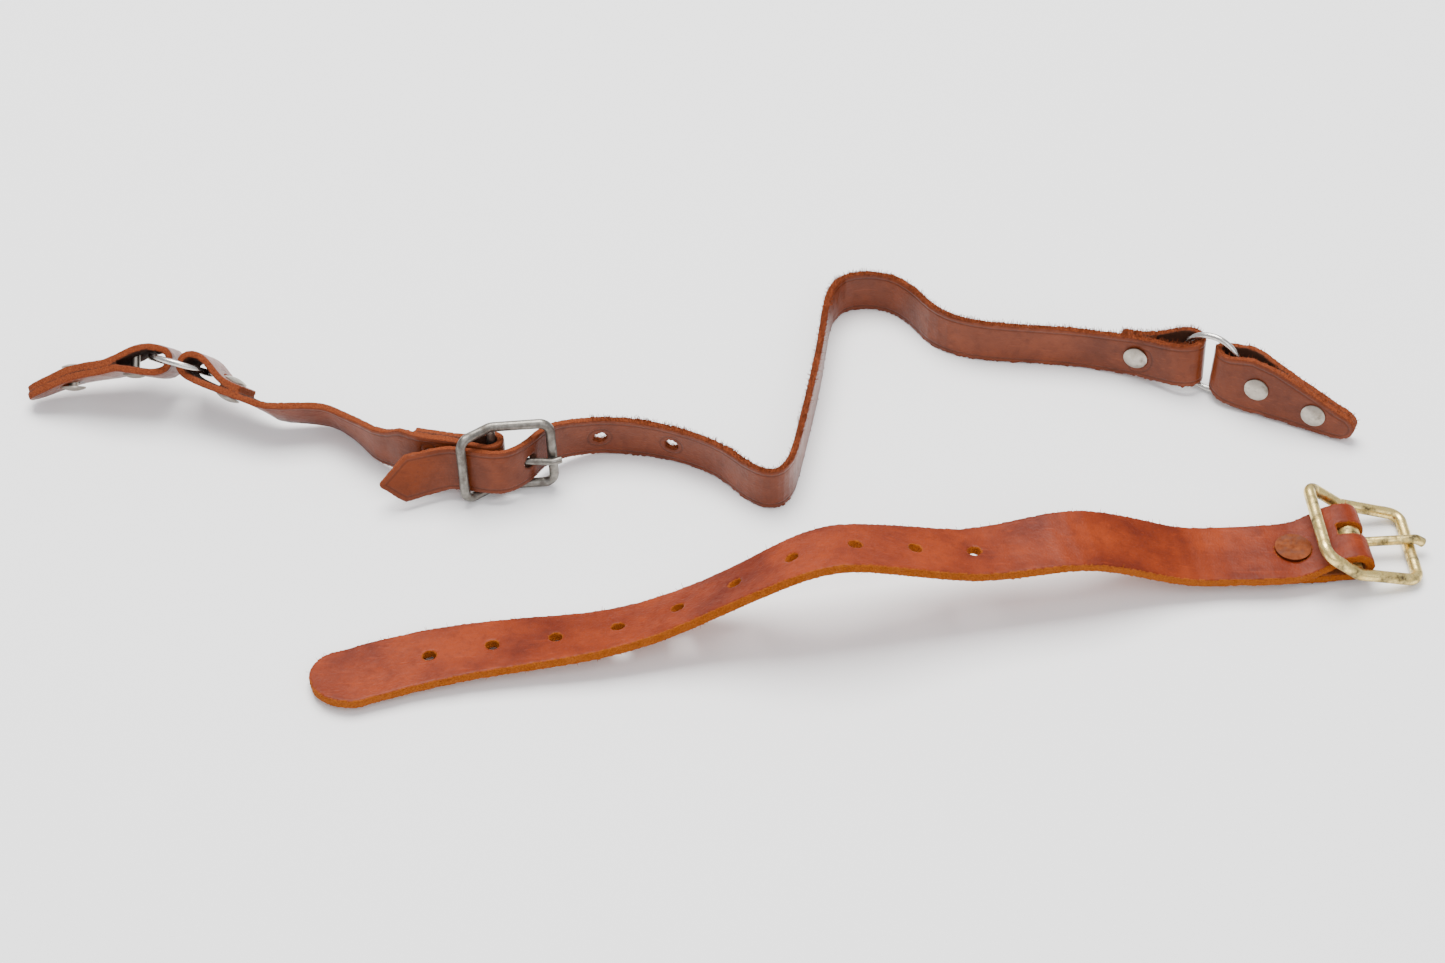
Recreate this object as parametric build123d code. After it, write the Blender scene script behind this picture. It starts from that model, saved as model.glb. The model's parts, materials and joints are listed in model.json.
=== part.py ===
from build123d import *
import math
import os

# Two spur straps laid on a table, in millimetres.
# +X runs along the straps, +Y across them and +Z is up. The table is Z = 0.
# The brown strap is a chain: tab, ring, buckle strap, steel buckle, long strap, ring, tab.
# It stands on its edge. The tan strap has a brass buckle at one end and lies flat.

# ---- driving dimensions ----
MIDDLE = (-3.07, -5.16)      # middle of the pair on the table, taken as the origin
STRAP_WIDTH = 12.0          # brown strap
STRAP_THICK = 1.8
TAB_BELLY = 15.8            # widest part of a teardrop tab
TAB_END = 7.6               # its width beside the rounded free end
TAB_LENGTH = 39.4           # from the fold to the free end
RING_RADIUS = 8.0           # to the middle of the wire
RING_WIRE = 1.6
CAP_DIAMETER = 6.2          # rivet caps on the brown strap
CAP_RISE = 1.1
CAP_GAP = 0.08              # between a cap and the leather
POST_DIAMETER = 2.4
STRAP_HOLE = 3.3            # punched holes in the brown strap
STEEL_WIRE = 2.4
STEEL_BAR = 2.2             # diameter of the centre bar
STEEL_HEIGHT = 17.4         # between the middles of the side rails
STEEL_HEEL = 8.6            # centre bar to left bar
STEEL_NOSE = 14.2           # centre bar to right bar
STEEL_SET = 3.7             # how far the centre bar is set back
LIFTED = 3.25               # foot of the straps above the table inside the steel buckle
STEEL_TONGUE = 1.8
TAN_WIDTH = 18.4            # tan strap
TAN_THICK = 2.4
TAN_HOLE = 3.3
HOLE_COUNT = 10
HOLE_FIRST = 28.5           # from the rounded end to the first hole
HOLE_PITCH = 15.0
BRASS_WIRE = 2.9
BRASS_BAR = 2.6
BRASS_WIDTH = 24.2          # between the middles of the side rails
BRASS_HEEL = (-8.6, 7.0)    # heel bar from the centre bar, along and up
BRASS_NOSE = (15.4, -4.0)
BRASS_TONGUE = 2.4
TAN_RIVET = 8.8             # flat head on the tan strap
TAN_WASHER = 6.4
FOLD_GAP = 0.35             # from the steel bar to the leather folded round it
TAN_FOLD_GAP = 0.45         # from the brass bar

UP = Vector(0, 0, 1)
nodes = {}


# ---- strap helpers ----
def width_direction(heading, lean):
    """Unit vector across a strap that runs at heading and leans back by lean, in degrees."""
    h, tilt = math.radians(heading), math.radians(lean)
    back = Vector(-math.sin(h), math.cos(h), 0)
    return UP * math.cos(tilt) + back * math.sin(tilt)


def catmull_rom(values, k, t):
    """Smooth curve through values between values[k] and values[k + 1]; t runs from 0 to 1."""
    b, c = values[k], values[k + 1]
    a = values[k - 1] if k > 0 else b * 2 - c
    d = values[k + 2] if k + 2 < len(values) else c * 2 - b
    cubic = (b * 3 - a - c * 3 + d) * t**3
    square = (a * 2 - b * 5 + c * 4 - d) * t**2
    return (b * 2 + (c - a) * t + square + cubic) * 0.5


def smooth(stations, steps):
    """Refine stations, each (middle of the section, width direction, width)."""
    places = [station[0] for station in stations]
    acrosses = [station[1] for station in stations]
    fine = []
    for k in range(len(stations) - 1):
        for step in range(steps):
            t = step / steps
            across = catmull_rom(acrosses, k, t).normalized()
            width = stations[k][2] * (1 - t) + stations[k + 1][2] * t
            fine.append((catmull_rom(places, k, t), across, width))
    fine.append(stations[-1])
    return fine


def tangent(fine, k):
    return (fine[min(k + 1, len(fine) - 1)][0] - fine[max(k - 1, 0)][0]).normalized()


def ribbon(stations, thick, steps=2):
    """A strap: flat sections along a smooth line of stations, joined by ruled faces."""
    fine = smooth(stations, steps)
    sections = []
    for k, (place, across, width) in enumerate(fine):
        normal = across.cross(tangent(fine, k)).normalized() * (thick / 2)
        half = across * (width / 2)
        corners = [place - half - normal, place + half - normal,
                   place + half + normal, place - half + normal]
        sections.append(Wire.make_polygon(corners, close=True))
    return Solid.make_loft(sections, True)


def station_at(stations, distance):
    """Middle, width direction and tangent at a distance along the strap."""
    fine = smooth(stations, 8)
    gone = 0.0
    for k in range(len(fine) - 1):
        step = (fine[k + 1][0] - fine[k][0]).length
        if gone + step >= distance:
            t = (distance - gone) / step
            place = fine[k][0] * (1 - t) + fine[k + 1][0] * t
            return place, fine[k][1], tangent(fine, k)
        gone += step
    return fine[-1][0], fine[-1][1], tangent(fine, len(fine) - 1)


def rod(start, end, diameter):
    plane = Plane(origin=start, z_dir=(end - start))
    return plane * Cylinder(diameter / 2, (end - start).length,
                            align=(Align.CENTER, Align.CENTER, Align.MIN))


def punch(leather, place, along, diameter, depth=12.0):
    """Cut a round hole through leather."""
    axis = along.normalized() * (depth / 2)
    return leather - rod(place - axis, place + axis, diameter)


def bent_wire(points, diameter, radius, closed=False):
    """Wire bent to a radius at each corner."""
    path = FilletPolyline(*points, radius=radius, close=closed)
    edge = path.edges()[0]
    section = Plane(origin=edge @ 0, z_dir=edge % 0) * Circle(diameter / 2)
    return sweep(section, path=path, transition=Transition.ROUND)


# ---- rivets ----
def dome(diameter, rise, rim):
    """A rivet cap with its flat side at Z = 0."""
    crown = rise - rim
    radius = ((diameter / 2)**2 + crown**2) / (2 * crown)
    disc = Cylinder(diameter / 2, rise, align=(Align.CENTER, Align.CENTER, Align.MIN))
    return disc & Pos(0, 0, rise - radius) * Sphere(radius)


def seat(leather, middle, axis, grip):
    """Press both caps of a rivet flat into sloping leather."""
    plane = Plane(origin=middle, z_dir=axis)
    for turn in (0, 180):
        well = Pos(0, 0, grip / 2) * Cylinder(CAP_DIAMETER / 2 + 0.1, 3.0,
                                              align=(Align.CENTER, Align.CENTER, Align.MIN))
        leather -= plane * (Rot(turn, 0, 0) * well)
    return leather


def cap_rivet(name, middle, axis, grip, stand_off=0.0):
    """A post with a cap at each end of the grip; stand_off lifts the post's own cap."""
    plane = Plane(origin=middle, z_dir=axis)
    low = -grip / 2 - CAP_GAP - stand_off
    high = grip / 2 + CAP_GAP
    socket = 0.55
    shank = Pos(0, 0, low) * Cylinder(POST_DIAMETER / 2, high - low + socket - 0.05,
                                      align=(Align.CENTER, Align.CENTER, Align.MIN))
    post = shank + Pos(0, 0, low) * (Rot(180, 0, 0) * dome(CAP_DIAMETER, CAP_RISE, 0.35))
    bore = Cylinder(POST_DIAMETER / 2 + 0.06, socket, align=(Align.CENTER, Align.CENTER, Align.MIN))
    cap = Pos(0, 0, high) * (dome(CAP_DIAMETER, CAP_RISE, 0.35) - bore)
    nodes[name + "_post"] = plane * post
    nodes[name + "_cap"] = plane * cap


def ring(name, middle, along, across):
    """A round wire ring that spans along and across."""
    plane = Plane(origin=middle, x_dir=along, z_dir=along.cross(across))
    nodes[name] = plane * Torus(RING_RADIUS, RING_WIRE / 2)


# ---- folded tabs ----
TAB_WIDTHS = [(0, STRAP_WIDTH), (3, STRAP_WIDTH + 0.5), (10, TAB_BELLY), (15, TAB_BELLY),
              (25, 12.0), (TAB_LENGTH - 4, TAB_END), (TAB_LENGTH, TAB_END)]
TWIST_LENGTH = 14.0         # over which a tab turns from its ring to its resting lean


def tab_width(distance):
    for (d0, w0), (d1, w1) in zip(TAB_WIDTHS, TAB_WIDTHS[1:]):
        if distance <= d1:
            return w0 + (w1 - w0) * max(distance - d0, 0) / (d1 - d0)
    return TAB_END


def tab(name, fold, along, acrosses, layers, rivets, on_edge=0, rise=0):
    """A teardrop of leather folded round a ring.

    layers lists (distance from the fold, offset) down one layer and back up the other.
    acrosses are the width directions at the fold and at the free end.
    rivets lists (distance, lowest offset, highest offset, stand-off of the lower cap).
    on_edge is 1 where the lower edge is straight and 0 where the tab is symmetric.
    rise lifts the lower edge at the fold.
    """
    out = acrosses[1].cross(along).normalized()

    def middle(distance, offset):
        turned = min(distance / TWIST_LENGTH, 1)
        across = (acrosses[0] * (1 - turned) + acrosses[1] * turned).normalized()
        lift = (tab_width(distance) - STRAP_WIDTH) / 2 * on_edge
        lift += rise * (1 - min(distance / 10, 1))**2
        return fold + along * distance + out * offset + across * lift, across

    def section(distance, offset, share=1.0):
        place, across = middle(distance, offset)
        return place, across, tab_width(distance) * share

    def free_end(inner, outer):
        """The rounded end of a layer, from its last two listed points outwards."""
        slope = (outer[1] - inner[1]) / (outer[0] - inner[0])
        reach = TAB_LENGTH - outer[0]
        return [section(outer[0] + reach * k, outer[1] + slope * reach * k,
                        math.sqrt(1 - k**2)) for k in (0.5, 0.8, 0.95, 0.995)]

    run = [section(*point) for point in layers]
    start = free_end(layers[1], layers[0])[::-1]
    finish = free_end(layers[-2], layers[-1])
    leather = ribbon(start + run + finish, STRAP_THICK)
    for k, (distance, low, high, stand_off) in enumerate(rivets):
        place = middle(distance, (low + high) / 2)[0]
        leather = punch(leather, place, out, POST_DIAMETER + 0.2)
        leather = seat(leather, place, out, high - low)
        cap_rivet(f"{name}_rivet_{k + 1}", place, out * -1, high - low, stand_off)
    nodes[name] = leather


LEFT_ACROSS = Vector(-0.12, -0.69, 0.714).normalized()
LEFT_FOLD = Vector(-138.1, 31.0, 12.6)
tab("left_tab", LEFT_FOLD, Vector(-0.993, 0.083, -0.086), (LEFT_ACROSS, LEFT_ACROSS),
    [(34.6, 7.1), (31, 5.7), (26, 4.1), (18, 2.85), (14, 2.1), (7.6, 3.0), (4.5, 3.15),
     (1.95, 2.2), (0.9, 0), (2.0, -2.3), (6.2, -3.3), (9.7, -2.6), (12.4, -1.4), (17.5, 0.7),
     (22.9, 1.4), (27.6, 2.4), (31, 3.6), (34.6, 5.15)],
    [(11.5, -2.5, 3.1, 0), (27.7, 1.6, 5.4, 0.8)])

RIGHT_HEADING = -23.5
RIGHT_FOLD = Vector(125.1, 34.0, STRAP_WIDTH / 2 + 0.3)
tab("right_tab", RIGHT_FOLD,
    Vector(math.cos(math.radians(RIGHT_HEADING)), math.sin(math.radians(RIGHT_HEADING)), 0),
    (width_direction(RIGHT_HEADING, 11), width_direction(RIGHT_HEADING, 4)),
    [(35, -4.3), (26, -3.9), (18, -3.6), (11, -3.4), (5.5, -3.2), (2.5, -2.2), (0.9, 0),
     (2.5, 2.1), (5.5, 2.6), (9, 2.0), (13, 0.5), (18, -1.2), (26, -1.85), (35, -2.25)],
    [(13.2, -4.35, 1.25, 0), (28.6, -4.9, -1.0, 0)], on_edge=1, rise=2.6)

# ---- rings ----
LEFT_RING = Vector(-137.6, 30.05, 12.0)
ring("left_ring", LEFT_RING, Vector(0.95, -0.306, -0.062), Vector(-0.163, -0.654, 0.738))
RIGHT_RING = Vector(124.9, 34.55, 8.9)
ring("right_ring", RIGHT_RING, Vector(0.863, -0.504, 0.014), Vector(0.045, 0.106, 0.993))

# ---- long strap ----
# (x, y, z) of the foot and lean back in degrees; the strap stands on its edge.
LONG_RUN = [(-78.4, -9.1, 2.1, 24), (-73, -7.0, 2.4, 18), (-67.5, -5.2, 2.9, 11),
            (-62, -6.1, LIFTED, 9), (-57, -7.2, LIFTED, 10), (-53, -6.7, LIFTED, 10),
            (-49.6, -4.3, LIFTED, 9), (-47.2, -1.1, 3.2, 6), (-44.8, 2.9, 2.9, 2),
            (-41.3, 6.3, 2.2, 0), (-36, 9.1, 1.2, -3), (-29, 10.8, 0.4, -4),
            (-20.6, 10.2, 0, -4), (-12.4, 8.2, 0, -6), (-5, 5.0, 0, -7), (0.4, 1.0, 0, -5),
            (5.1, -4.4, 0, -1), (8.6, -7.5, 0, 1), (11.8, -8.8, 0, 2), (14.6, -7.7, 0, 2),
            (16.7, -4.4, 0, 2), (18.1, 0.3, 0, 2), (19.6, 8.0, 0, 0), (21.4, 17.6, 0, 0),
            (23.4, 28.8, 0, 0), (25.2, 40.3, 0, 0), (26.6, 51.6, 0, 0), (28.3, 60.0, 0, 0),
            (31.8, 65.0, 0, 0), (37.4, 66.6, 0, 0), (43.5, 65.4, 0, 1), (47.9, 62.2, 0, 2),
            (51.2, 57.7, 0, 4), (54.4, 52.8, 0, 5), (58.9, 49.2, 0, 4), (65.2, 46.8, 0, 3),
            (73, 45.6, 0, 2), (82.6, 44.8, 0, 1), (93, 43.4, 0.1, 1), (101, 41.1, 0.5, 2),
            (107, 38.8, 1.1, 4), (112.4, 35.7, 1.8, 6), (116.6, 33.3, 2.5, 9), (119.9, 32.9, 2.8, 10),
            (122.2, 34.2, 2.8, 10), (122.8, 36.4, 2.8, 10), (121.3, 38.8, 2.8, 10),
            (117.9, 39.7, 2.7, 9), (114.0, 39.5, 2.2, 7), (110.5, 39.7, 1.7, 5),
            (106.5, 41.1, 1.1, 4), (102.8, 42.5, 0.7, 3)]
POINT_LENGTH = 6.4          # of the pointed end
POINT_WIDTH = 1.0           # its blunt tip
SUNK = 0.1                  # trimmed off the foot, so that it stands flat

long_stations = []
for x, y, z, lean in LONG_RUN:
    across = width_direction(0, lean)
    place = Vector(x, y, z - SUNK) + across * (STRAP_WIDTH / 2)
    long_stations.append((place, across, STRAP_WIDTH))
first = long_stations[0][0]
step = (first - long_stations[1][0]).normalized() * POINT_LENGTH
point_across = width_direction(0, 26)
for share in (0.5, 1.0):
    width = STRAP_WIDTH + (POINT_WIDTH - STRAP_WIDTH) * share
    long_stations.insert(0, (first + step * share, point_across, width))
long_strap = ribbon(long_stations, STRAP_THICK)
long_strap -= Pos(0, 0, -5) * Box(400, 400, 10)
TONGUE_THROUGH = Vector(-48.9, -2.0, 9.1)
TONGUE_LINE = Vector(0.998, -0.04, 0.057)
long_strap = punch(long_strap, TONGUE_THROUGH, TONGUE_LINE, STRAP_HOLE)
for place in (Vector(-30.5, 10.7, 6.4), Vector(-12.6, 8.0, 6.2)):
    long_strap = punch(long_strap, place, Vector(0.2, 1, 0), STRAP_HOLE)
LONG_RIVET = Vector(106.9, 40.3, 7.2)
LONG_RIVET_AXIS = Vector(0.34, 0.94, 0)
long_strap = punch(long_strap, LONG_RIVET, LONG_RIVET_AXIS, POST_DIAMETER + 0.2)
long_strap = seat(long_strap, LONG_RIVET, LONG_RIVET_AXIS, 4.1)
cap_rivet("long_strap_rivet", LONG_RIVET, LONG_RIVET_AXIS, 4.1)
nodes["long_strap"] = long_strap

# ---- steel buckle, in its own frame: x to the nose, z up the centre bar ----
BUCKLE_HEADING = 17.7
BUCKLE_LEAN = 9.5
STEEL_MIDDLE = Vector(-56.85, -1.15, 9.8)
steel = Plane(origin=STEEL_MIDDLE,
              x_dir=(math.cos(math.radians(BUCKLE_HEADING)), math.sin(math.radians(BUCKLE_HEADING)), 0),
              z_dir=width_direction(BUCKLE_HEADING, BUCKLE_LEAN))
half = STEEL_HEIGHT / 2
corners = [(-STEEL_HEEL, -STEEL_SET, -half), (0, 0, -half), (STEEL_NOSE, -STEEL_SET, -half),
           (STEEL_NOSE, -STEEL_SET, half), (0, 0, half), (-STEEL_HEEL, -STEEL_SET, half)]
frame = bent_wire(corners, STEEL_WIRE, 2.6, closed=True)
frame += Cylinder(STEEL_BAR / 2, STEEL_HEIGHT)
nodes["steel_buckle_frame"] = steel * frame

# ---- buckle strap, folded round the left ring and the centre bar ----
LOOP_ACROSS = Vector(-0.203, -0.635, 0.745).normalized()
LOOP_ALONG = Vector(0.886, -0.444, -0.136).normalized()
LOOP_OUT = LOOP_ACROSS.cross(LOOP_ALONG).normalized()
# (along, out) from a point inside the ring
LOOP_MIDDLE = Vector(-137.2, 31.0, 12.8)
LOOP_LAYERS = [(19.4, -0.25), (16, -0.3), (13.5, 0.0), (11.0, 1.0), (8.0, 2.4), (5.0, 2.9),
               (2.6, 2.0), (1.7, 0.0), (2.5, -2.0), (5.0, -2.9), (10.4, -2.85), (16.5, -2.4),
               (22.1, -1.95)]
# (x, y, z) of the foot, heading, lean back
BUCKLE_RUN = [(-112.4, 20.9, 2.5, -20, -34), (-107.0, 20.6, 1.6, -14, -29),
              (-101, 20.6, 0.8, -14, -26), (-96.4, 19.0, 0.4, -30, -24),
              (-91.8, 14.6, 0.4, -45, -19), (-88.9, 10.7, 0.6, -45, -12),
              (-86.2, 7.2, 0.9, -35, -7), (-83.0, 4.7, 1.4, -25, -2)]
# (x, y) in the buckle's frame, from the ring's side round the centre bar and back
BAR_FOLD = STEEL_BAR / 2 + FOLD_GAP + STRAP_THICK / 2
BUCKLE_LOOP = [(-20.8, 10.0), (-16.9, 6.7), (-12.5, 4.2), (-8.9, 2.2), (-5, -0.2),
               (-2, -BAR_FOLD + 0.3), (0, -BAR_FOLD), (BAR_FOLD * 0.7, -BAR_FOLD * 0.7), (BAR_FOLD, 0),
               (BAR_FOLD * 0.7, BAR_FOLD * 0.7), (0, BAR_FOLD), (-2.7, 2.6), (-6, 3.2),
               (-9.7, 5.0), (-12.9, 6.8), (-15.5, 8.2), (-16.9, 9.1)]


def in_steel_buckle(x, y):
    """A point level with the middle of the lifted strap, given in the buckle's frame."""
    tilt = math.radians(BUCKLE_LEAN)
    level = LIFTED + STRAP_WIDTH / 2 * math.cos(tilt) - STEEL_MIDDLE.Z
    return steel.from_local_coords(Vector(x, y, (level + y * math.sin(tilt)) / math.cos(tilt)))


buckle_stations = [(LOOP_MIDDLE + LOOP_ALONG * a + LOOP_OUT * b, LOOP_ACROSS, STRAP_WIDTH)
                   for a, b in LOOP_LAYERS]
for x, y, z, heading, lean in BUCKLE_RUN:
    across = width_direction(heading, lean)
    place = Vector(x, y, z) + across * (STRAP_WIDTH / 2)
    buckle_stations.append((place, across, STRAP_WIDTH))
for x, y in BUCKLE_LOOP:
    buckle_stations.append((in_steel_buckle(x, y), steel.z_dir, STRAP_WIDTH))
buckle_strap = ribbon(buckle_stations, STRAP_THICK)
SLOT_MIDDLE = -1.2          # of the tongue on the centre bar, in the buckle's frame
buckle_strap -= steel * (Pos(0.6, 0, SLOT_MIDDLE) * Box(7.6, 12, 4.2))
RING_END_RIVET = LOOP_MIDDLE + LOOP_ALONG * 15.2 + LOOP_OUT * -1.35
buckle_strap = punch(buckle_strap, RING_END_RIVET, LOOP_OUT, POST_DIAMETER + 0.2, 9)
buckle_strap = seat(buckle_strap, RING_END_RIVET, LOOP_OUT, 4.0)
cap_rivet("ring_end_rivet", RING_END_RIVET, LOOP_OUT, 4.0)
BAR_END_RIVET = in_steel_buckle(-13.2, 5.8)
BAR_END_AXIS = steel.from_local_coords(Vector(0.5, 0.866, 0)) - STEEL_MIDDLE
buckle_strap = punch(buckle_strap, BAR_END_RIVET, BAR_END_AXIS, POST_DIAMETER + 0.2, 9)
buckle_strap = seat(buckle_strap, BAR_END_RIVET, BAR_END_AXIS, 4.0)
cap_rivet("bar_end_rivet", BAR_END_RIVET, BAR_END_AXIS, 4.0)
nodes["buckle_strap"] = buckle_strap

# ---- steel tongue ----
eye = Cylinder(2.6, 3.0) - Cylinder(STEEL_BAR / 2 + 0.15, 3.0)
rest = -STEEL_SET - (STEEL_WIRE + STEEL_TONGUE) / 2 - 0.5
shank = bent_wire([(1.8, -0.75, 0), (STEEL_NOSE - 0.6, rest + 0.1, 0), (STEEL_NOSE + 1.6, rest + 0.3, 0)],
                  STEEL_TONGUE, 1.2)
nodes["steel_buckle_tongue"] = steel * (Pos(0, 0, SLOT_MIDDLE) * (eye + shank))

# ---- tan strap ----
# (x, y, z) of the middle of the section, lean back; 90 lies flat
TAN_RUN = [(-87.0, -68.7, 2.2, 94.5), (-75, -64.6, 2.6, 94.5), (-60, -61.1, 3.2, 97),
           (-45, -58.9, 3.7, 100.6), (-31, -57.2, 4.5, 105.5), (-17, -54.2, 6.2, 110),
           (-3, -51.0, 10.7, 113), (8, -49.4, 16.2, 111), (17, -48.0, 20.6, 107.7),
           (25, -46.4, 22.4, 104.5), (33, -45.0, 21.7, 102), (46, -42.6, 18.0, 99.5),
           (58, -40.8, 15.1, 98.5), (68, -38.9, 14.6, 95.5), (79, -36.9, 15.3, 91),
           (88, -35.2, 14.3, 88), (97, -33.5, 11.0, 87.5), (105, -32.3, 7.6, 89),
           (113, -31.7, 5.3, 91), (122, -30.9, 4.6, 91)]
tan_stations = []
HALF_TAN = TAN_WIDTH / 2
for part in (0.02, 0.1, 0.25, 0.5, 0.75):
    inset = HALF_TAN * part
    share = math.sqrt(1 - (1 - part)**2)
    tan_stations.append((Vector(-96.4 + inset, -70.9 + inset * 0.24, 2.25), width_direction(18, 94.5),
                         TAN_WIDTH * share))
for k, (x, y, z, lean) in enumerate(TAN_RUN):
    before = TAN_RUN[max(k - 1, 0)]
    after = TAN_RUN[min(k + 1, len(TAN_RUN) - 1)]
    heading = math.degrees(math.atan2(after[1] - before[1], after[0] - before[0]))
    tan_stations.append((Vector(x, y, z), width_direction(heading, lean), TAN_WIDTH))

# the fold round the brass centre bar, in the buckle's frame: x to the nose, z up
BRASS_HEADING = 4.0
brass = Plane(origin=(152.2, -25.8, 5.55),
              x_dir=(math.cos(math.radians(BRASS_HEADING)), math.sin(math.radians(BRASS_HEADING)), 0),
              z_dir=(0, 0, 1))
TAN_BAR_FOLD = BRASS_BAR / 2 + TAN_FOLD_GAP + TAN_THICK / 2
TAN_FOLD = [(-20.5, -3.5, -0.6), (-14, -3.0, -0.7), (-9.5, -1.9, 0.0), (-6, -1.1, 1.4),
            (-3, -0.9, 2.6), (0, -0.8, TAN_BAR_FOLD),
            (TAN_BAR_FOLD * 0.7, -0.8, TAN_BAR_FOLD * 0.7), (TAN_BAR_FOLD, -0.8, 0),
            (TAN_BAR_FOLD * 0.7, -0.8, -TAN_BAR_FOLD * 0.7), (0, -0.8, -TAN_BAR_FOLD),
            (-5, -0.8, -3.3), (-11, -1.0, -3.3), (-19.5, -1.2, -3.2)]
for point in TAN_FOLD:
    place = brass.from_local_coords(Vector(*point))
    tan_stations.append((place, width_direction(BRASS_HEADING + 2, 90), TAN_WIDTH))
tan_strap = ribbon(tan_stations, TAN_THICK)
for k in range(HOLE_COUNT):
    place, across, along = station_at(tan_stations, HOLE_FIRST + HOLE_PITCH * k)
    tan_strap = punch(tan_strap, place, across.cross(along), TAN_HOLE)
tan_strap -= brass * (Pos(1.4, 0, 0) * Box(9.4, 3.8, 12))

# ---- flat rivet and washer of the tan strap ----
rivet_plane = Plane(origin=brass.from_local_coords(Vector(-14.4, -3.0, -0.7)), z_dir=(0, 0, 1))
up_from = (Align.CENTER, Align.CENTER, Align.MIN)
top = TAN_THICK / 2
tan_strap -= rivet_plane * (Pos(0, 0, -3) * Cylinder(1.5, 12))
tan_strap -= rivet_plane * (Pos(0, 0, top) * Cylinder(TAN_RIVET / 2 + 0.1, 4, align=up_from))
under = -2.6 - TAN_THICK / 2
tan_strap -= rivet_plane * (Pos(0, 0, under - 4) * Cylinder(TAN_WASHER / 2 + 0.1, 4, align=up_from))
head = Pos(0, 0, top + 0.1) * Cylinder(TAN_RIVET / 2, 0.7, align=up_from)
stem = Pos(0, 0, under - 0.75) * Cylinder(1.4, top - under + 0.9, align=up_from)
nodes["tan_rivet"] = rivet_plane * (head + stem)
washer = Cylinder(TAN_WASHER / 2, 0.5, align=up_from) - Cylinder(1.45, 0.5, align=up_from)
nodes["tan_rivet_washer"] = rivet_plane * (Pos(0, 0, under - 0.6) * washer)
nodes["tan_strap"] = tan_strap

# ---- brass buckle ----
side = BRASS_WIDTH / 2
nose = side - 0.8
corners = [(BRASS_HEEL[0], -side, BRASS_HEEL[1]), (0, -side, 0), (BRASS_NOSE[0], -nose, BRASS_NOSE[1]),
           (BRASS_NOSE[0], nose, BRASS_NOSE[1]), (0, side, 0), (BRASS_HEEL[0], side, BRASS_HEEL[1])]
brass_frame = bent_wire(corners, BRASS_WIRE, 3.0, closed=True)
brass_frame += Rot(90, 0, 0) * Cylinder(BRASS_BAR / 2, BRASS_WIDTH)
nodes["brass_buckle_frame"] = brass * brass_frame
eye = Rot(90, 0, 0) * (Cylinder(3.0, 3.0) - Cylinder(BRASS_BAR / 2 + 0.15, 3.0))
top = BRASS_NOSE[1] + (BRASS_WIRE + BRASS_TONGUE) / 2 + 0.1
shank = bent_wire([(1.6, 0, -1.2), (4.5, 0, top - 0.1), (BRASS_NOSE[0] + 1.4, 0, top),
                   (BRASS_NOSE[0] + 3.2, 0, top - 1.3)], BRASS_TONGUE, 1.6)
nodes["brass_buckle_tongue"] = brass * (eye + shank)

# ---- write one file for each piece ----
to_origin = Pos(-MIDDLE[0], -MIDDLE[1], 0)
os.makedirs("parts", exist_ok=True)
for name, shape in nodes.items():
    export_step(to_origin * shape, f"parts/{name}.step")
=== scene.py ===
import json
import math
import random

import bmesh
import bpy
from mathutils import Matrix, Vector, kdtree, noise
from mathutils.bvhtree import BVHTree

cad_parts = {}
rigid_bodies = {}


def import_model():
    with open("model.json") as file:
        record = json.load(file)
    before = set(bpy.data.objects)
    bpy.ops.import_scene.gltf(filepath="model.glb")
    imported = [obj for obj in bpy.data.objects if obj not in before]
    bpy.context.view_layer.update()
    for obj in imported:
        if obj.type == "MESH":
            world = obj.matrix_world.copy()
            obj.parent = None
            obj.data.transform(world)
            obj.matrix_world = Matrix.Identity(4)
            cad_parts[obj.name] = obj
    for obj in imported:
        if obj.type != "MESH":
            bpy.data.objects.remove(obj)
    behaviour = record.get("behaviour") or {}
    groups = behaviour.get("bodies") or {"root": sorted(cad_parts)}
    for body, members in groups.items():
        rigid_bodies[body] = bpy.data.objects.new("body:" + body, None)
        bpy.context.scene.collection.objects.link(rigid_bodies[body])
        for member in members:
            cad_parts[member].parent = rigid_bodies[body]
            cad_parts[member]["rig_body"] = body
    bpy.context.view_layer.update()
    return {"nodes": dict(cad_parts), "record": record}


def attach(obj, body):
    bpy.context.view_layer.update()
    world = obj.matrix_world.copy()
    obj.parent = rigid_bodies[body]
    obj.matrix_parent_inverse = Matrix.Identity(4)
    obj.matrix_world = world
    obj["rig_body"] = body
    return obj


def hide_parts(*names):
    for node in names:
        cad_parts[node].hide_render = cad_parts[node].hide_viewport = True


# The looks of two leather spur straps lying on a pale table. The leather pieces are built here,
# over the straps of the frame, and the metal parts are the frame's own with worn finishes.
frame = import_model()
nodes = frame["nodes"]
slot_of = {part["node"]: part["material_slot"] for part in frame["record"]["subparts"]}
random.seed(7)

MM = 0.001

# ---- leather meshes ----
VOXEL = 0.35 * MM
WELD = 0.003 * MM           # vertices nearer than this are joined
RIM_STEP = 0.25 * MM        # between the points that mark an edge
STRAP_EDGE = 50             # degrees between faces that meet at an edge of a strap
TAB_EDGE = 65               # of a tab, whose tight fold is sharper than a strap's

# ---- relief of the leather ----
GRIT = 0.6 * MM             # size of the finest bumps
FRAYED_LUMPS = 2.2 * MM     # of the lumps along a cut edge
GRAIN_WAVES = 4 * MM        # of the slow waves in the smooth face
FACE_RELIEF = 0.06          # mm, of the broad faces
CREASE = 1.25               # mm from the edge to the pressed line
WORN_UP_TO = -30 * MM       # left of this the brown edges are worn smooth
WORN_SHARE = 0.3            # of the fuzz is left there

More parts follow.
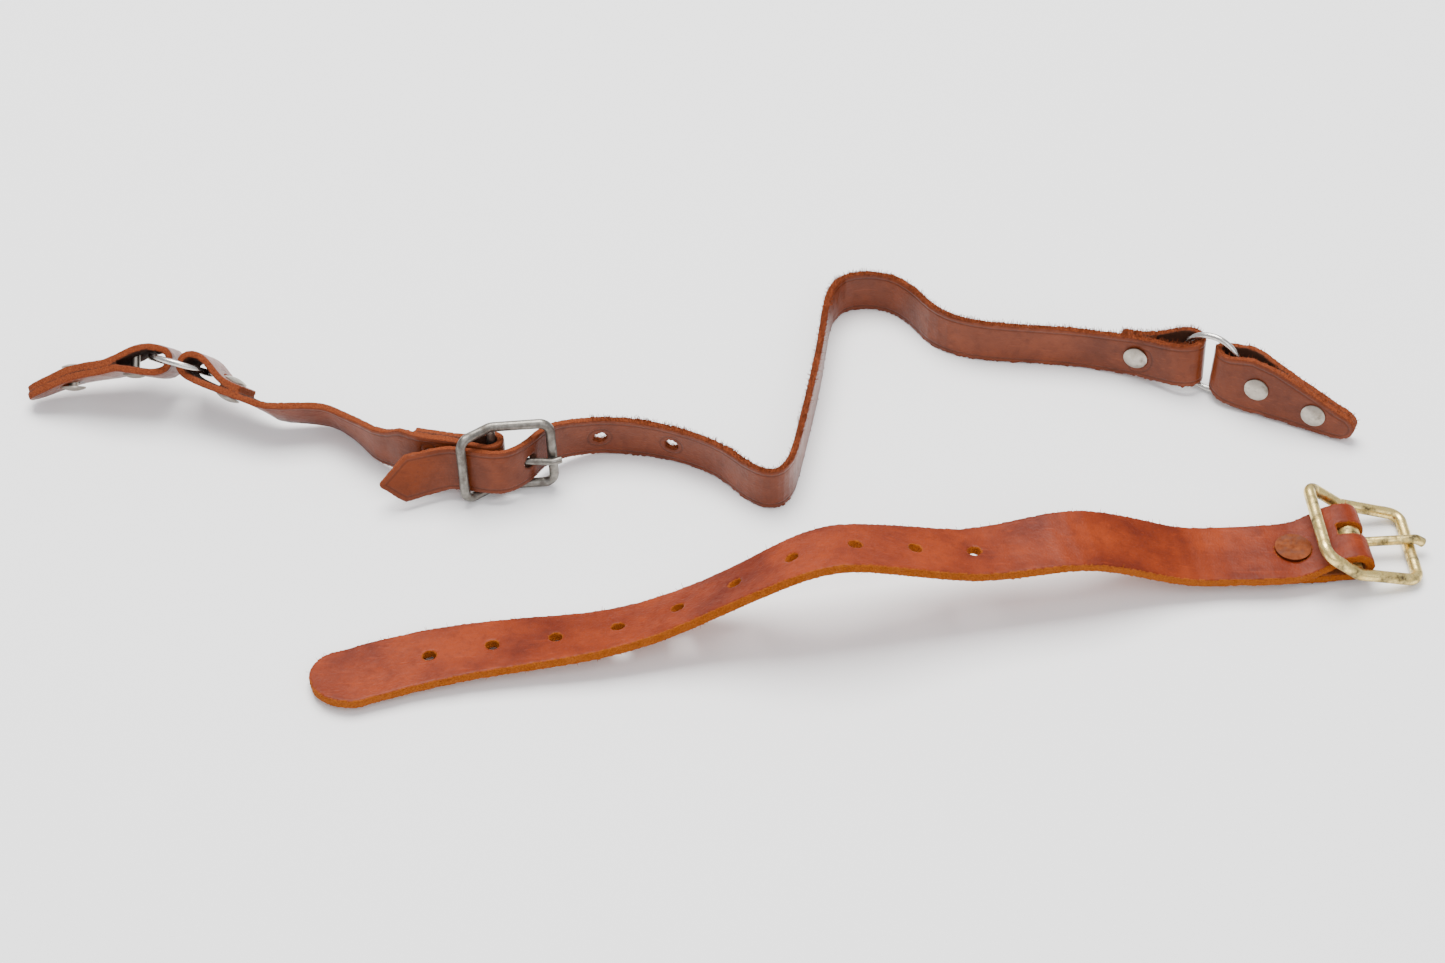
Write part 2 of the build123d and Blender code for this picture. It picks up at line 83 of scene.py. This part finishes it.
# ---- loose fibres ----
FRAYS_ABOVE = 0.1           # the least upward share of a normal where fibres stand
FIBRE_REACH = (0.4, 1.5)    # mm
FIBRE_LEAN = 0.55           # spread of its direction about the normal
FIBRE_SWAY = 0.12           # mm, spread of the bend halfway along
FIBRE_WIDTH = 0.06 * MM
FIBRE_WAIST = 0.8           # of the width is left at the bend
FIBRE_ROOT = 0.1 * MM       # deep in the leather

# ---- floor and camera ----
FLOOR_SIZE = 6              # metres
FLOOR_DROP = 0.2 * MM       # so that the floor and the feet don't share a plane
LENS = 79.7                 # mm, on a sensor this wide:
SENSOR = 36
CAMERA_AT = Vector((3.07, -570.34, 555.7)) * MM
LOOK_AT = Vector((3.07, 5.16, 0)) * MM


# ---- shader helpers ----
class Shader:
    """A material's node graph, with short ways to add to it."""

    def __init__(self, name, **surface):
        self.material = bpy.data.materials.new(name)
        self.material.use_nodes = True
        self.nodes = self.material.node_tree.nodes
        self.links = self.material.node_tree.links
        self.surface = self.nodes["Principled BSDF"]
        self.place = self.nodes.new("ShaderNodeTexCoord").outputs["Object"]
        for key, value in surface.items():
            self.surface.inputs[key.replace("_", " ")].default_value = value

    def put(self, value, socket):
        """Links an output, or sets a number or colour."""
        if isinstance(value, bpy.types.NodeSocket):
            self.links.new(value, socket)
        elif isinstance(value, (tuple, list)):
            socket.default_value = (*value, 1.0)
        else:
            socket.default_value = value

    def noise(self, size_mm, detail=4.0, roughness=0.6, stretch=(1, 1, 1)):
        scaled = self.nodes.new("ShaderNodeMapping")
        scaled.inputs["Scale"].default_value = stretch
        self.links.new(self.place, scaled.inputs["Vector"])
        made = self.nodes.new("ShaderNodeTexNoise")
        made.inputs["Scale"].default_value = 1 / (size_mm * MM)
        made.inputs["Detail"].default_value = detail
        made.inputs["Roughness"].default_value = roughness
        self.links.new(scaled.outputs["Vector"], made.inputs["Vector"])
        return made.outputs["Fac"]

    def cells(self, size_mm):
        made = self.nodes.new("ShaderNodeTexVoronoi")
        made.inputs["Scale"].default_value = 1 / (size_mm * MM)
        self.links.new(self.place, made.inputs["Vector"])
        return made.outputs["Distance"]

    def attribute(self, name):
        made = self.nodes.new("ShaderNodeAttribute")
        made.attribute_name = name
        return made.outputs["Fac"]

    def spread(self, value, low, high, to_low=0.0, to_high=1.0):
        """Maps low..high to to_low..to_high, clamped."""
        made = self.nodes.new("ShaderNodeMapRange")
        self.put(value, made.inputs["Value"])
        for socket, number in (("From Min", low), ("From Max", high),
                               ("To Min", to_low), ("To Max", to_high)):
            made.inputs[socket].default_value = number
        return made.outputs["Result"]

    def math(self, operation, a, b=0.0):
        made = self.nodes.new("ShaderNodeMath")
        made.operation = operation
        self.put(a, made.inputs[0])
        self.put(b, made.inputs[1])
        return made.outputs["Value"]

    # A Mix node has its own sockets for each kind of value: 2 and 3 in and 0 out for numbers,
    # and 6 and 7 in and 2 out for colours.
    def mix(self, share, a, b):
        """Mixes two colours."""
        made = self.nodes.new("ShaderNodeMix")
        made.data_type = "RGBA"
        self.put(share, made.inputs["Factor"])
        self.put(a, made.inputs[6])
        self.put(b, made.inputs[7])
        return made.outputs[2]

    def blend(self, share, a, b):
        """Mixes two numbers."""
        made = self.nodes.new("ShaderNodeMix")
        self.put(share, made.inputs["Factor"])
        self.put(a, made.inputs[2])
        self.put(b, made.inputs[3])
        return made.outputs[0]

    def bump(self, height, depth_mm):
        made = self.nodes.new("ShaderNodeBump")
        made.inputs["Distance"].default_value = depth_mm * MM
        made.inputs["Strength"].default_value = 1.0
        self.put(height, made.inputs["Height"])
        self.links.new(made.outputs["Normal"], self.surface.inputs["Normal"])

    def finish(self, colour, roughness):
        self.put(colour, self.surface.inputs["Base Color"])
        self.put(roughness, self.surface.inputs["Roughness"])
        return self.material


# ---- finishes ----
def shade(colour, factor):
    """The colour made darker or lighter."""
    return [min(part * factor, 1) for part in colour]


def leather(name, light, dark, edge, edge_dark, flesh, roughness, coat, crease_share):
    """Grain, flesh and cut edge in one finish, told apart by the piece's own attributes."""
    made = Shader(name, Coat_Weight=coat, Coat_Roughness=0.3, Specular_IOR_Level=0.18, IOR=1.45)
    cut = made.attribute("cut")
    inside = made.attribute("flesh")
    bare = made.math("MAXIMUM", cut, inside)
    blotches = made.spread(made.noise(16, 5, 0.62), 0.36, 0.64)
    grime = made.spread(made.noise(2.2, 6, 0.7), 0.5, 0.78)
    scratches = made.spread(made.noise(1.1, 3, 0.5, (0.12, 1.0, 1.6)), 0.6, 0.72)
    from_crease = made.math("ABSOLUTE", made.math("SUBTRACT", made.attribute("rim"), CREASE))
    crease = made.spread(from_crease, 0.1, 0.4, crease_share, 0)
    fibres = made.noise(0.35, 6, 0.75)

    colour = made.mix(blotches, light, dark)
    for marks, share, shaded in ((grime, 0.45, shade(dark, 0.42)),
                                 (scratches, 0.2, shade(light, 1.7)),
                                 (crease, 0.55, shade(dark, 0.35))):
        colour = made.mix(made.math("MULTIPLY", marks, share), colour, shaded)
    colour = made.mix(inside, colour, made.mix(made.noise(0.7, 5), flesh, shade(flesh, 2.2)))
    colour = made.mix(cut, colour, made.mix(made.spread(fibres, 0.35, 0.65), edge_dark, edge))

    bare_roughness = 0.93
    grimy_roughness = roughness + 0.22
    rough = made.blend(bare, made.blend(grime, roughness, grimy_roughness), bare_roughness)
    made.put(made.blend(bare, coat, 0.0), made.surface.inputs["Coat Weight"])

    pores = made.math("MULTIPLY", made.cells(0.55), 0.5)
    relief = made.math("ADD", pores, made.noise(1.6, 6, 0.65))
    for marks, depth in ((crease, 1.5), (scratches, 0.25)):
        relief = made.math("SUBTRACT", relief, made.math("MULTIPLY", marks, depth))
    relief = made.blend(bare, relief, made.math("MULTIPLY", fibres, 5.0))
    made.bump(relief, 0.09)
    return made.finish(colour, rough)


def metal(name, light, dark, patina, patina_share, roughness, relief_mm=0.03):
    """A worn metal with patina in patches, which are duller and less metallic."""
    made = Shader(name, Metallic=1.0, Anisotropic=0.15)
    patches = made.spread(made.noise(3.4, 7, 0.66),
                          0.62 - patina_share * 0.35, 0.8 - patina_share * 0.3)
    tone = made.spread(made.noise(1.3, 5, 0.6), 0.35, 0.65)
    colour = made.mix(patches, made.mix(tone, light, dark), patina)
    patina_roughness = 0.62
    rough = made.blend(patches, made.blend(tone, roughness, roughness + 0.12), patina_roughness)
    made.put(made.math("SUBTRACT", 1.0, made.math("MULTIPLY", patches, 0.55)),
             made.surface.inputs["Metallic"])
    made.bump(made.math("ADD", made.noise(0.9, 6, 0.7), made.math("MULTIPLY", patches, 0.6)),
              relief_mm)
    return made.finish(colour, rough)


LEATHERS = {
    "brown_leather": leather(
        "brown_leather_looks", light=(0.175, 0.037, 0.011), dark=(0.105, 0.0205, 0.006),
        edge=(0.3, 0.07, 0.022), edge_dark=(0.12, 0.024, 0.008), flesh=(0.035, 0.012, 0.006),
        roughness=0.33, coat=0.12, crease_share=0.7),
    "tan_leather": leather(
        "tan_leather_looks", light=(0.225, 0.029, 0.0025), dark=(0.11, 0.0115, 0.0012),
        edge=(0.42, 0.115, 0.008), edge_dark=(0.22, 0.04, 0.004), flesh=(0.22, 0.07, 0.025),
        roughness=0.42, coat=0.03, crease_share=0.0),
}
METALS = {
    "nickel": metal(
        "nickel_looks", light=(0.62, 0.6, 0.56), dark=(0.45, 0.43, 0.4),
        patina=(0.16, 0.13, 0.1), patina_share=0.1, roughness=0.18),
    "pewter_steel": metal(
        "pewter_looks", light=(0.24, 0.225, 0.2), dark=(0.15, 0.138, 0.12),
        patina=(0.07, 0.055, 0.04), patina_share=0.3, roughness=0.34),
    "brass": metal(
        "brass_looks", light=(0.88, 0.69, 0.28), dark=(0.7, 0.5, 0.16),
        patina=(0.06, 0.04, 0.012), patina_share=0.5, roughness=0.22),
    "satin_caps": metal(
        "cap_looks", light=(0.46, 0.42, 0.36), dark=(0.36, 0.325, 0.275),
        patina=(0.17, 0.135, 0.1), patina_share=0.2, roughness=0.38, relief_mm=0.012),
    "copper_rivet": metal(
        "copper_looks", light=(0.17, 0.05, 0.02), dark=(0.13, 0.034, 0.013),
        patina=(0.1, 0.026, 0.01), patina_share=0.4, roughness=0.5, relief_mm=0.004),
}


# ---- leather pieces ----
def welded(node):
    """The frame's mesh with its split vertices joined."""
    made = bmesh.new()
    made.from_mesh(nodes[node].data)
    bmesh.ops.remove_doubles(made, verts=made.verts, dist=WELD)
    made.faces.ensure_lookup_table()
    return made


def sides(made, facing, sharp):
    """Marks each face as grain, flesh or cut, by the sharp edges between them."""
    group = {}
    areas = []
    for seed in made.faces:
        if seed.index in group:
            continue
        number = len(areas)
        areas.append(0.0)
        group[seed.index] = number
        waiting = [seed]
        while waiting:
            face = waiting.pop()
            areas[number] += face.calc_area()
            for edge in face.edges:
                if len(edge.link_faces) == 2 and edge.calc_face_angle(0) > math.radians(sharp):
                    continue
                for other in edge.link_faces:
                    if other.index not in group:
                        group[other.index] = number
                        waiting.append(other)
    # The two largest groups are the broad faces. The grain is the one that faces `facing`, or
    # the one that faces out of the piece where none is given.
    broad = sorted(range(len(areas)), key=lambda k: areas[k])[-2:]
    centre = sum((f.calc_center_median() for f in made.faces), Vector()) / len(made.faces)
    score = {k: 0.0 for k in broad}
    for face in made.faces:
        if group[face.index] in score:
            towards = facing or (face.calc_center_median() - centre).normalized()
            score[group[face.index]] += face.calc_area() * face.normal.dot(towards)
    grain = max(score, key=score.get)
    names = {k: "cut" for k in range(len(areas))}
    for k in broad:
        names[k] = "grain" if k == grain else "flesh"
    return [names[group[k]] for k in range(len(made.faces))]


def rim_points(made, kinds):
    """A search tree of points along the edges between the broad faces and the cut edge."""
    found = []
    for edge in made.edges:
        kinds_here = {kinds[f.index] for f in edge.link_faces}
        if len(kinds_here) == 2 and "cut" in kinds_here:
            a, b = (v.co for v in edge.verts)
            steps = max(1, int((b - a).length / RIM_STEP))
            found += [a.lerp(b, k / steps) for k in range(steps + 1)]
    tree = kdtree.KDTree(len(found))
    for k, point in enumerate(found):
        tree.insert(point, k)
    tree.balance()
    return tree


def remeshed(node):
    """An even, slightly softened mesh over a strap of the frame."""
    piece = bpy.data.objects.new(node + "_piece", nodes[node].data.copy())
    bpy.context.scene.collection.objects.link(piece)
    even = piece.modifiers.new("even", "REMESH")
    even.mode = "VOXEL"
    even.voxel_size = VOXEL
    soften = piece.modifiers.new("soften", "SMOOTH")
    soften.factor = 0.5
    soften.iterations = 2
    shown = piece.evaluated_get(bpy.context.evaluated_depsgraph_get())
    mesh = bpy.data.meshes.new_from_object(shown)
    piece.modifiers.clear()
    piece.data = mesh
    return piece


def mark(mesh, name, numbers):
    """Gives each point of the mesh its number."""
    mesh.attributes.new(name, "FLOAT", "POINT").data.foreach_set("value", numbers)


def scatter(spread):
    """A random vector."""
    return Vector([random.gauss(0, spread) for _ in range(3)])


def fray(piece, cut_vertices, count, body, material):
    """Short loose fibres standing from the cut edge, each a bent three-sided spike."""
    points = []
    faces = []
    for co, normal in random.sample(cut_vertices, min(count, len(cut_vertices))):
        reach = random.uniform(*FIBRE_REACH) * MM
        tip = co + (normal + scatter(FIBRE_LEAN)).normalized() * reach
        bend = (co + tip) / 2 + scatter(FIBRE_SWAY) * MM
        aside = normal.orthogonal().normalized() * FIBRE_WIDTH
        other = normal.cross(aside)
        first = len(points)
        for middle, size in ((co - normal * FIBRE_ROOT, 1.0), (bend, FIBRE_WAIST)):
            points += [middle + aside * size, middle + (other - aside / 2) * size,
                       middle - (other + aside / 2) * size]
        points.append(tip)
        faces.append((first + 2, first + 1, first))
        for k in range(3):
            after = (k + 1) % 3
            faces.append((first + k, first + after, first + 3 + after, first + 3 + k))
            faces.append((first + 3 + k, first + 3 + after, first + 6))
    mesh = bpy.data.meshes.new(piece.name + "_fray")
    mesh.from_pydata(points, [], faces)
    mesh.materials.append(material)
    for name, value in (("cut", 1.0), ("flesh", 0.0), ("rim", 0.0)):
        mark(mesh, name, [value] * len(points))
    fibres = bpy.data.objects.new(piece.name + "_fray", mesh)
    bpy.context.scene.collection.objects.link(fibres)
    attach(fibres, body)


def leather_piece(node, facing, sharp, fuzz, fibres=0):
    """Builds the leather over one strap of the frame and puts it on the strap's body.

    The cut edges are roughened by up to about `fuzz` mm, and `fibres` stand from them.
    """
    slot = slot_of[node]
    material = LEATHERS[slot]
    flat = welded(node)
    kinds = sides(flat, facing, sharp)
    rim = rim_points(flat, kinds)
    surface = BVHTree.FromBMesh(flat)
    piece = remeshed(node)
    mesh = piece.data
    values = {"cut": [], "flesh": [], "rim": []}
    cut_vertices = []
    normals = [v.normal.copy() for v in mesh.vertices]
    for vertex, normal in zip(mesh.vertices, normals):
        co = vertex.co
        kind = kinds[surface.find_nearest(co)[2]]
        values["cut"].append(1.0 if kind == "cut" else 0.0)
        values["flesh"].append(1.0 if kind == "flesh" else 0.0)
        values["rim"].append(rim.find(co)[2] / MM)
        if kind == "cut":
            worn = slot == "brown_leather" and co.x < WORN_UP_TO
            rough = noise.noise(co / GRIT) + noise.noise(co / FRAYED_LUMPS)
            rough *= fuzz * (WORN_SHARE if worn else 1.0)
            if normal.z > FRAYS_ABOVE and not worn:
                cut_vertices.append((co.copy(), normal))
        else:
            bumps = GRIT if kind == "flesh" else GRAIN_WAVES
            rough = noise.noise(co / bumps) * FACE_RELIEF
        vertex.co += normal * rough * MM
    for name, numbers in values.items():
        mark(mesh, name, numbers)
    mesh.polygons.foreach_set("use_smooth", [True] * len(mesh.polygons))
    mesh.materials.clear()
    mesh.materials.append(material)
    body = nodes[node]["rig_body"]
    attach(piece, body)
    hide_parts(node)
    if fibres:
        fray(piece, cut_vertices, fibres, body, material)
    flat.free()


TOWARDS_VIEWER = Vector((0, -1, 0.3))
UP = Vector((0, 0, 1))
leather_piece("long_strap", TOWARDS_VIEWER, STRAP_EDGE, fuzz=0.36, fibres=6000)
leather_piece("buckle_strap", None, STRAP_EDGE, fuzz=0.3)
leather_piece("left_tab", None, TAB_EDGE, fuzz=0.3)
leather_piece("right_tab", None, TAB_EDGE, fuzz=0.15, fibres=400)
leather_piece("tan_strap", UP, STRAP_EDGE, fuzz=0.12, fibres=700)

# ---- metal parts ----
for name, node in nodes.items():
    if slot_of[name] in METALS:
        node.data.materials.clear()
        node.data.materials.append(METALS[slot_of[name]])
        node.data.shade_smooth()

# ---- table, light and camera ----
table = Shader("table", Specular_IOR_Level=0.3)
bpy.ops.mesh.primitive_plane_add(size=FLOOR_SIZE, location=(0, 0, -FLOOR_DROP))
floor = bpy.context.object
floor.data.materials.append(table.finish((0.97, 0.97, 0.965), 0.55))


def area_light(name, place, size, watts, colour):
    """A square lamp that shines at the middle of the table."""
    lamp = bpy.data.lights.new(name, "AREA")
    lamp.size = size
    lamp.energy = watts
    lamp.color = colour
    made = bpy.data.objects.new(name, lamp)
    bpy.context.scene.collection.objects.link(made)
    made.location = place
    made.rotation_euler = (-Vector(place)).to_track_quat("-Z", "Y").to_euler()


area_light("window", (-0.1, 0.45, 1.2), size=0.9, watts=34, colour=(1.0, 0.99, 0.97))
area_light("fill", (0.4, -0.9, 1.0), size=1.2, watts=10, colour=(0.98, 0.98, 1.0))
world = bpy.data.worlds.new("room")
world.use_nodes = True
background = world.node_tree.nodes["Background"]
background.inputs["Color"].default_value = (0.93, 0.95, 1.0, 1.0)
background.inputs["Strength"].default_value = 0.8
bpy.context.scene.world = world

lens = bpy.data.cameras.new("camera")
lens.lens = LENS
lens.sensor_width = SENSOR
camera = bpy.data.objects.new("camera", lens)
bpy.context.scene.collection.objects.link(camera)
camera.location = CAMERA_AT
camera.rotation_euler = (LOOK_AT - CAMERA_AT).to_track_quat("-Z", "Y").to_euler()
bpy.context.scene.camera = camera
